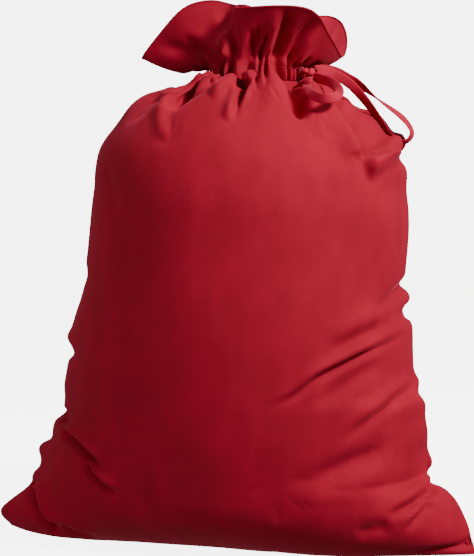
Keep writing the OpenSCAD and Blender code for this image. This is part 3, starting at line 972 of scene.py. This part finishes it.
def ruffle_surface(rows):
    """Rows of the ruffle: a parabola from the foot over the bend to the edge,
    with the pleats pushed inwards near the foot."""
    foot = neck_ring(NECK_R, 0.0, RUFFLE_Z)
    edge = view_to_frame(*(edge_values[:, :3].T * MM)) + [NECK_X, 0, RUFFLE_Z]
    outwards, rise = edge_values[:, 3:4], edge_values[:, 4] * MM
    bend = foot + (edge - foot) * [1, 1, 0] * outwards
    bend[:, 2] = RUFFLE_Z + rise
    v = np.linspace(0, 1, rows)[:, None, None]
    plain = (1 - v)**2 * foot + 2 * v * (1 - v) * bend + v**2 * edge
    long_pleats = np.exp(-((share_around - 0.24) / 0.07)**2) + (share_around > 0.56) * 0.8
    reach = per_pleat(0.3, 0.55, pleat_edges) + long_pleats * per_pleat(0.2, 0.9, pleat_edges)
    fade = smoothstep(1, 0.05, v[..., 0] / reach)
    depth = pleat_depth * pleat_wave * fade
    out = outward(plain)
    push = fold_push(plain, out, RUFFLE_FOLDS, VIEW_TURN) * (np.sin(around) > 0)
    return plain + out * (push * smoothstep(0, 0.2, v[..., 0]) - depth)[..., None]


ruffle = ruffle_surface(34)
ruffle[0] = outer_rings[-1]
facing = ruffle - outward(ruffle) * 1.8 * MM
print("ruffle reaches", ruffle.min((0, 1)).round(3), ruffle.max((0, 1)).round(3))

# %% Ruffle pieces
def half_of(grid, front):
    """The columns of the front half, or of the back half, with both side seams."""
    if front:
        return grid[:, :HALF + 1]
    return np.concatenate([grid[:, HALF:], grid[:, :1]], axis=1)


for name, node, grid, front, inside, finish in (
        ("front_ruffle_velvet", "front_ruffle", ruffle, True, False, "velvet"),
        ("back_ruffle_velvet", "back_ruffle", ruffle, False, False, "velvet"),
        ("front_ruffle_lining", "front_ruffle_facing", facing, True, True, "velvet_back"),
        ("back_ruffle_lining", "back_ruffle_facing", facing, False, True, "velvet_back")):
    piece = grid_piece(name, half_of(grid, front), flip=inside)
    fitted(subdivided(piece), node, finish)

# %% Ruffle hem
edge_line = (ruffle[-1] + facing[-1]) / 2
edge_up = unit(ruffle[-1] - ruffle[-2])
edge_out = unit(ruffle[-1] - facing[-1])
angle = 2 * np.pi * np.arange(10) / 10
hem_ring = (np.cos(angle)[None, :, None] * edge_out[:, None] * 1.5 * MM
            + np.sin(angle)[None, :, None] * edge_up[:, None] * 1.7 * MM)
hem_grid = edge_line[:, None] + hem_ring
hem_grid = np.concatenate([hem_grid, hem_grid[:1]])
fitted(grid_piece("rolled_ruffle_hem", hem_grid, wrap=True), "ruffle_hem", "velvet")
print("hem length", round(line_length(closed(edge_line)), 3))

# %% [markdown]
# ## The knot and the strands that reach it
#
# The drawstring's two strands come out of the slot side by side and are tied
# together in one overhand knot. A ball with a bump texture never looks tied, so
# the strip really is knotted here: the trefoil, the simplest closed knot, has a
# short formula in sines and cosines, and the strip is carried along it.


# %% Knot
KNOT_STRIP_W = 8.4 * MM             # the strip is squeezed narrower and thicker in the knot
KNOT_STRIP_T = 3.8 * MM


def trefoil(count, radius):
    """The trefoil knot: x = sin t + 2 sin 2t, y = cos t - 2 cos 2t, z = -sin 3t."""
    t = 2 * np.pi * np.arange(count + 1) / count
    knot = np.stack([np.sin(t) + 2 * np.sin(2 * t), np.cos(t) - 2 * np.cos(2 * t),
                     -1.5 * np.sin(3 * t)], axis=-1)
    return knot / 3 * radius


knot_shape = trefoil(96, KNOT_R * 0.74)
axes = np.stack([OPENING_DIR, [0.0, 0.0, 1.0], OPENING_SIDE])
knot_line = KNOT + knot_shape @ axes
along = unit(np.gradient(knot_line, axis=0))
along[0] = along[-1] = unit(knot_line[1] - knot_line[-2])
radial = unit(knot_line - KNOT)
thin = unit(radial - (radial * along).sum(-1, keepdims=True) * along)
flat = np.cross(thin, along)
angle = 2 * np.pi * np.arange(16) / 16
wide = signed_power(np.cos(angle), 0.7) * KNOT_STRIP_W / 2
tall = signed_power(np.sin(angle), 0.8) * KNOT_STRIP_T / 2
knot_grid = (knot_line[:, None] + wide[None, :, None] * flat[:, None]
             + tall[None, :, None] * thin[:, None])
fitted(subdivided(grid_piece("overhand_knot", knot_grid, wrap=True)),
       "drawstring_knot", "drawstring_velvet", "drawstring")

# %% Exit strands
strand_from = NECK_R - 5 * MM
strand_to = float(np.linalg.norm((KNOT - CHANNEL_MID)[:2])) - KNOT_R * 0.55
for side, name in ((-1, "front_exit_strand"), (1, "back_exit_strand")):
    t = np.linspace(0, 1, 24)
    line = (CHANNEL_MID + (strand_from + (strand_to - strand_from) * t)[:, None] * OPENING_DIR
            + (side * (1.6 - 0.5 * np.sin(np.pi * t)) * MM)[:, None] * OPENING_SIDE
            + (side * 0.6 * MM * np.sin(2 * np.pi * t))[:, None] * [0.0, 0.0, 1.0])
    up = np.tile([0.0, 0.0, 1.0], (len(line), 1))
    squeeze = 1 - 0.35 * smoothstep(0.5, 1, t)[:, None]
    strand = grid_piece(name, flat_tube(line, up * squeeze, np.cross(OPENING_DIR, up),
                                        CORD_W, CORD_T), wrap=True)
    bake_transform(strand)
    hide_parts("exit_strands")
    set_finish(strand, "drawstring_velvet")
print("strands", round(strand_to - strand_from, 4))


# %% [markdown]
# ## Materials
#
# All the cloth is cotton velvet: a short pile of cut fibres on a woven ground.
# Seen straight on it is deep and dark, and at a glancing angle the fibre tips
# catch the light, which the shader's sheen gives. Brushing bends the pile in
# patches, so the red shifts softly from place to place. Sheen works together
# with a matt surface; a glossy coat would turn it into satin.

# %% Material helpers
def linear(code):
    """An sRGB hex colour as linear red, green, blue and alpha."""
    value = np.array([int(code[i:i + 2], 16) for i in (1, 3, 5)]) / 255
    value = np.where(value <= 0.04045, value / 12.92, ((value + 0.055) / 1.055)**2.4)
    return (*value.tolist(), 1.0)


def add_node(tree, kind, links=(), **settings):
    """Adds a node. settings are its properties or its inputs by name with _ for
    spaces; links are (input name or number, output socket) pairs."""
    node = tree.nodes.new(kind)
    for name, value in settings.items():
        plain = name.replace("_", " ")
        if plain in node.inputs:
            node.inputs[plain].default_value = value
        else:
            setattr(node, name, value)
    for name, source in links:
        tree.links.new(source, node.inputs[name])
    return node


def emptied(owner):
    """The node tree of a material or a world, with its nodes taken out."""
    owner.use_nodes = True
    owner.node_tree.nodes.clear()
    return owner.node_tree


def velvet_material(name, deep, bright, sheen, sheen_tint, roughness, fibre_mm, bump_mm):
    """Cut-pile velvet. Brushed patches about 110 mm across times smaller ones,
    30 mm wide and twice as tall, mix a deeper and a brighter red; the pile itself
    is a fine noise bump."""
    material = bpy.data.materials.new(name)
    tree = emptied(material)
    place = add_node(tree, "ShaderNodeTexCoord").outputs["Object"]
    patches = add_node(tree, "ShaderNodeTexNoise", [("Vector", place)],
                       Scale=1 / 0.11, Detail=3.0, Roughness=0.5)
    stretch = add_node(tree, "ShaderNodeMapping", [("Vector", place)])
    stretch.inputs["Scale"].default_value = (1.0, 1.0, 0.5)
    streaks = add_node(tree, "ShaderNodeTexNoise", [("Vector", stretch.outputs[0])],
                       Scale=1 / 0.03, Detail=4.0)
    both = add_node(tree, "ShaderNodeMath", [(0, patches.outputs["Fac"]),
                                             (1, streaks.outputs["Fac"])], operation="MULTIPLY")
    ramp = add_node(tree, "ShaderNodeValToRGB", [("Fac", both.outputs[0])])
    ramp.color_ramp.elements[0].position = 0.08
    ramp.color_ramp.elements[0].color = linear(deep)
    ramp.color_ramp.elements[1].position = 0.42
    ramp.color_ramp.elements[1].color = linear(bright)
    # Real pile is about 0.1 mm a fibre; it is drawn coarser so that it shows.
    pile = add_node(tree, "ShaderNodeTexNoise", [("Vector", place)],
                    Scale=1000 / fibre_mm, Detail=2.0)
    bump = add_node(tree, "ShaderNodeBump", [("Height", pile.outputs["Fac"])],
                    Strength=0.5, Distance=bump_mm * MM)
    shader = add_node(tree, "ShaderNodeBsdfPrincipled",
                      [("Base Color", ramp.outputs["Color"]), ("Normal", bump.outputs[0])],
                      Roughness=roughness, Sheen_Weight=sheen, Sheen_Roughness=0.35,
                      Sheen_Tint=linear(sheen_tint))
    shader.inputs["Specular IOR Level"].default_value = 0.15
    add_node(tree, "ShaderNodeOutputMaterial", [("Surface", shader.outputs[0])])
    return material


def thread_material(name, colour):
    """Mercerised polyester thread: smooth, slightly glossy, with a fine twist."""
    material = bpy.data.materials.new(name)
    tree = emptied(material)
    place = add_node(tree, "ShaderNodeTexCoord").outputs["Object"]
    twist = add_node(tree, "ShaderNodeTexWave", [("Vector", place)], Scale=900.0,
                     Distortion=2.0, bands_direction="DIAGONAL")
    bump = add_node(tree, "ShaderNodeBump", [("Height", twist.outputs["Fac"])],
                    Strength=0.4, Distance=0.1 * MM)
    shade = add_node(tree, "ShaderNodeTexNoise", [("Vector", place)], Scale=1 / 0.02)
    ramp = add_node(tree, "ShaderNodeValToRGB", [("Fac", shade.outputs["Fac"])])
    ramp.color_ramp.elements[0].color = linear(colour)
    ramp.color_ramp.elements[1].color = linear("#8E1526")
    shader = add_node(tree, "ShaderNodeBsdfPrincipled",
                      [("Base Color", ramp.outputs["Color"]), ("Normal", bump.outputs[0])],
                      Roughness=0.45)
    add_node(tree, "ShaderNodeOutputMaterial", [("Surface", shader.outputs[0])])
    return material


# %% Materials
velvet = velvet_material("cut_pile_velvet", "#82071E", "#960A26", 0.32, "#F0506E",
                         0.85, 1.6, 0.5)
velvet_lining = velvet_material("velvet_lining", "#9A102C", "#AC1633", 0.45, "#FF7A96",
                                0.8, 1.6, 0.4)
drawstring_velvet = velvet_material("drawstring_velvet", "#940E28", "#A81230", 0.45, "#FF7A96",
                                    0.8, 1.2, 0.3)
thread = thread_material("polyester_thread", "#6E0F1C")
FINISHES = {"velvet": velvet, "velvet_back": velvet_lining,
            "drawstring_velvet": drawstring_velvet, "thread": thread}
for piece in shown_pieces():
    if piece.get("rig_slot"):
        piece.data.materials.clear()
        piece.data.materials.append(FINISHES[piece["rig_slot"]])

# %% [markdown]
# ## Floor and light
#
# A pale seamless floor and a big soft light, high on the right and in front,
# keep the shading on the cloth readable. The world gives an even, dim fill and
# a bright, plain ground behind the sack.


# %% Floor
floor_grid = np.stack(np.meshgrid(np.linspace(-6, 6, 5), np.linspace(-6, 6, 5)) +
                      [np.zeros((5, 5))], axis=-1)
floor = grid_piece("studio_floor", floor_grid, flip=True)
paper = bpy.data.materials.new("pale_paper")
paper.use_nodes = True
paper_inputs = paper.node_tree.nodes["Principled BSDF"].inputs
paper_inputs["Base Color"].default_value = linear("#FAFAFA")
paper_inputs["Roughness"].default_value = 0.9
paper_inputs["Emission Color"].default_value = linear("#FFFFFF")
paper_inputs["Emission Strength"].default_value = 5.5
floor.data.materials.append(paper)
floor.visible_diffuse = False
floor.visible_glossy = False


# %% Lights
def soft_light(name, place, aim, size, watts):
    """A square area light at a place, turned so that it shines at the aim."""
    data = bpy.data.lights.new(name, "AREA")
    data.size = size
    data.energy = watts
    light = bpy.data.objects.new(name, data)
    bpy.context.collection.objects.link(light)
    light.location = place
    light.rotation_euler = (Vector(aim) - Vector(place)).to_track_quat("-Z", "Y").to_euler()
    return light


soft_light("key", (2.1, -1.1, 2.1), (0, 0, 0.35), 0.6, 165)
soft_light("fill", (-1.6, -1.8, 1.0), (0, 0, 0.3), 1.2, 12)
soft_light("top", (0.1, 0.2, 2.6), (0, 0, 0.3), 1.2, 12)
soft_light("bounce", (-0.35, -0.95, 0.05), (-0.05, 0, 0.05), 0.5, 2.2)
world = bpy.data.worlds.new("studio")
bpy.context.scene.world = world
tree = emptied(world)
rays = add_node(tree, "ShaderNodeLightPath")
fill = add_node(tree, "ShaderNodeBackground", Color=linear("#F4F0EE"), Strength=0.32)
ground = add_node(tree, "ShaderNodeBackground", Color=linear("#FFFFFF"), Strength=6.0)
mix = add_node(tree, "ShaderNodeMixShader", [("Fac", rays.outputs["Is Camera Ray"]),
                                             (1, fill.outputs[0]), (2, ground.outputs[0])])
add_node(tree, "ShaderNodeOutputWorld", [("Surface", mix.outputs[0])])
